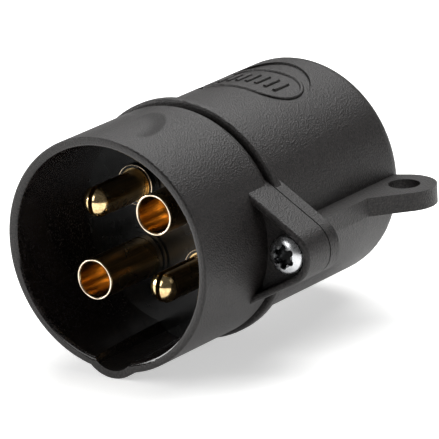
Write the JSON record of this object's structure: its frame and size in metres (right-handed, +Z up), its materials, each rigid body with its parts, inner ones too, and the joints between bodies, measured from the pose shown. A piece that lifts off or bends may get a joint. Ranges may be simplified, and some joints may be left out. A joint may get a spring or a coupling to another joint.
{
  "type": "trailer wiring connector",
  "caption": "Keyed round trailer wiring connector with tube and split-pin contacts, a screwed rear cover with a fixing eye and a cable gland.",
  "frame": {"origin": "centre of the collar's front rim, on the connector's axis", "axes": "+Y runs back along the axis from the mating face to the cable, +Z is up with the key at the bottom, the fixing eye is at +X"},
  "size_m": [0.0604, 0.0692, 0.0428],
  "materials": {
    "shell_plastic": "fine spark-eroded texture",
    "cover_plastic": "fine spark-eroded texture",
    "insert_plastic": "satin",
    "gland_plastic": "satin",
    "washer_plastic": "satin",
    "brass": "turned",
    "zinc_screw": "bright zinc plate",
    "rubber": "matte"
  },
  "bodies": {
    "housing": {"front_shell": "shell_plastic", "rear_cover": "cover_plastic", "contact_insert": "insert_plastic", "insert_retainer": "insert_plastic", "shell_gasket": "rubber", "tube_contact_upper": "brass", "tube_contact_lower": "brass", "pin_contact_upper": "brass", "pin_contact_lower": "brass", "threaded_bush_right": "brass", "threaded_bush_left": "brass", "cable_grommet": "rubber", "thrust_washer": "washer_plastic"},
    "cover_screw_right_body": {"cover_screw_right": "zinc_screw"},
    "cover_screw_left_body": {"cover_screw_left": "zinc_screw"},
    "retainer_screw_body": {"retainer_screw": "zinc_screw"},
    "gland_nut_body": {"gland_nut": "gland_plastic"},
    "terminal_screw_tube_upper_body": {"terminal_screw_tube_upper": "zinc_screw"},
    "terminal_screw_tube_lower_body": {"terminal_screw_tube_lower": "zinc_screw"},
    "terminal_screw_pin_upper_body": {"terminal_screw_pin_upper": "zinc_screw"},
    "terminal_screw_pin_lower_body": {"terminal_screw_pin_lower": "zinc_screw"}
  },
  "joints": [
    {"name": "cover_screw_right_turn", "type": "hinge", "parent": "housing", "child": "cover_screw_right_body", "pos_m": [0.0252, 0.0184, -0.0011], "axis": [0, -1, 0], "range_deg": [0, 1440]},
    {"name": "cover_screw_left_turn", "type": "hinge", "parent": "housing", "child": "cover_screw_left_body", "pos_m": [-0.0252, 0.0184, -0.0011], "axis": [0, -1, 0], "range_deg": [0, 1440]},
    {"name": "retainer_screw_turn", "type": "hinge", "parent": "housing", "child": "retainer_screw_body", "pos_m": [0, 0.0329, 0], "axis": [0, 1, 0], "range_deg": [0, 1440]},
    {"name": "gland_nut_turn", "type": "hinge", "parent": "housing", "child": "gland_nut_body", "pos_m": [0, 0.065, 0], "axis": [0, 1, 0], "range_deg": [0, 1080]},
    {"name": "terminal_screw_tube_upper_turn", "type": "hinge", "parent": "housing", "child": "terminal_screw_tube_upper_body", "pos_m": [0.0066, 0.04, 0.0066], "axis": [0.7071, 0, 0.7071], "range_deg": [0, 1080]},
    {"name": "terminal_screw_tube_lower_turn", "type": "hinge", "parent": "housing", "child": "terminal_screw_tube_lower_body", "pos_m": [-0.0066, 0.04, -0.0066], "axis": [-0.7071, 0, -0.7071], "range_deg": [0, 1080]},
    {"name": "terminal_screw_pin_upper_turn", "type": "hinge", "parent": "housing", "child": "terminal_screw_pin_upper_body", "pos_m": [-0.0066, 0.04, 0.0066], "axis": [-0.7071, 0, 0.7071], "range_deg": [0, 1080]},
    {"name": "terminal_screw_pin_lower_turn", "type": "hinge", "parent": "housing", "child": "terminal_screw_pin_lower_body", "pos_m": [0.0066, 0.04, -0.0066], "axis": [0.7071, 0, -0.7071], "range_deg": [0, 1080]}
  ]
}
